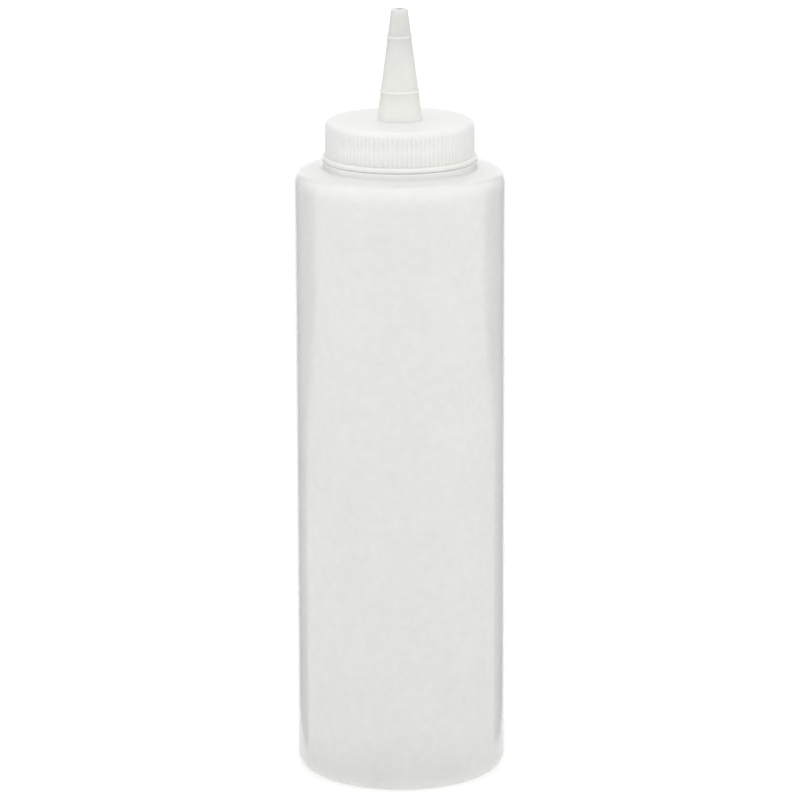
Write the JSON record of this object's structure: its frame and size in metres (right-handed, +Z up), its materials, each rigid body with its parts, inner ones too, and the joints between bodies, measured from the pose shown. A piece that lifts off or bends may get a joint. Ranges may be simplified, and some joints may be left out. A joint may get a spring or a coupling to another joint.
{
  "type": "squeeze bottle",
  "caption": "Translucent squeeze bottle for sauces with a straight round body, a ribbed screw cap and a tapered cone tip that pours a thin line.",
  "frame": {"origin": "centre of the ring that the bottle stands on, at the surface it stands on", "axes": "+Z up along the bottle's axis to the tip of the nozzle; +X and +Y are equal, the body being round"},
  "size_m": [0.057, 0.057, 0.2108],
  "materials": {
    "bottle_plastic": "natural low-density polyethylene, translucent and milky, blow-moulded, soft satin skin",
    "cap_plastic": "natural low-density polyethylene, translucent, injection-moulded, satin",
    "washer_foam": "white closed-cell polyethylene foam, matt"
  },
  "bodies": {
    "bottle": {"bottle": "bottle_plastic"},
    "washer": {"sealing_washer": "washer_foam"},
    "cap": {"cone_tip_cap": "cap_plastic"}
  },
  "joints": [
    {"name": "cap_lift", "type": "slide", "parent": "bottle", "child": "washer", "axis": [0, 0, 1], "range_m": [0, 0.0127]},
    {"name": "cap_turn", "type": "hinge", "parent": "washer", "child": "cap", "pos_m": [0, 0, 0.1794], "axis": [0, 0, 1], "range_deg": [0, 1080]}
  ],
  "couplings": [
    {"joint": "cap_lift", "follows": "cap_turn", "m_per_rad": 0.00067375}
  ]
}
